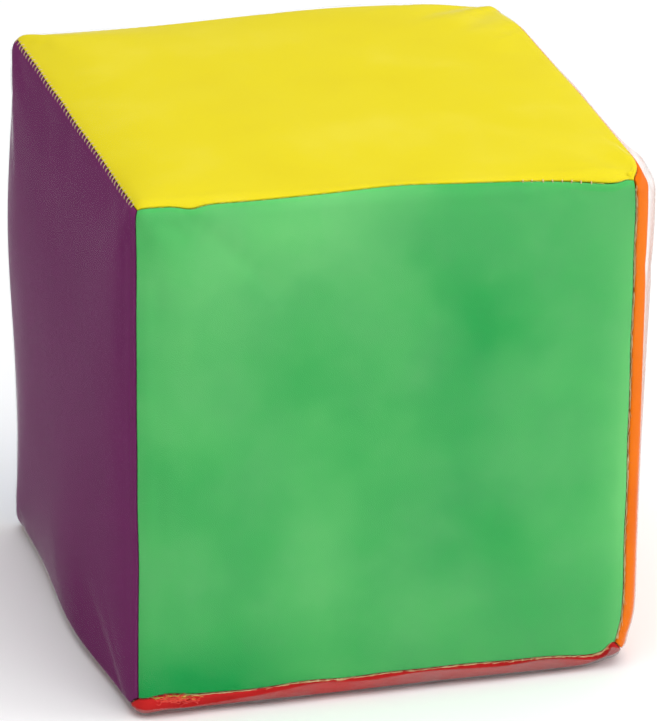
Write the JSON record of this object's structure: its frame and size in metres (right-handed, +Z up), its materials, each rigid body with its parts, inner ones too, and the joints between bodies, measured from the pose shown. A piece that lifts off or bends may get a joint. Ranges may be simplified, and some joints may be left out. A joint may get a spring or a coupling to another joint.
{
  "type": "soft pocket cube",
  "caption": "Soft foam throwing cube in a sewn cloth cover, each face a different colour under a clear vinyl pocket window.",
  "frame": {"origin": "centre of the bottom face, on the surface that the cube rests on", "axes": "+Z up through the yellow top, -Y out of the green front, +X out of the orange right side"},
  "size_m": [0.1524, 0.1524, 0.1524],
  "materials": {
    "foam": "matte",
    "green_cloth": "matte",
    "blue_cloth": "matte",
    "purple_cloth": "matte",
    "orange_cloth": "matte",
    "yellow_cloth": "matte",
    "red_cloth": "matte",
    "clear_vinyl": "gloss",
    "thread": "matte"
  },
  "bodies": {
    "root": {"foam_core": "foam", "front_panel": "green_cloth", "front_window": "clear_vinyl", "back_panel": "blue_cloth", "back_window": "clear_vinyl", "left_panel": "purple_cloth", "left_window": "clear_vinyl", "right_panel": "orange_cloth", "right_window": "clear_vinyl", "top_panel": "yellow_cloth", "top_window": "clear_vinyl", "bottom_panel": "red_cloth", "bottom_window": "clear_vinyl", "front_left_seam": "thread", "front_right_seam": "thread", "front_top_seam": "thread", "front_bottom_seam": "thread", "back_left_seam": "thread", "back_right_seam": "thread", "back_top_seam": "thread", "back_bottom_seam": "thread", "left_top_seam": "thread", "left_bottom_seam": "thread", "right_top_seam": "thread", "right_bottom_seam": "thread"}
  },
  "joints": []
}
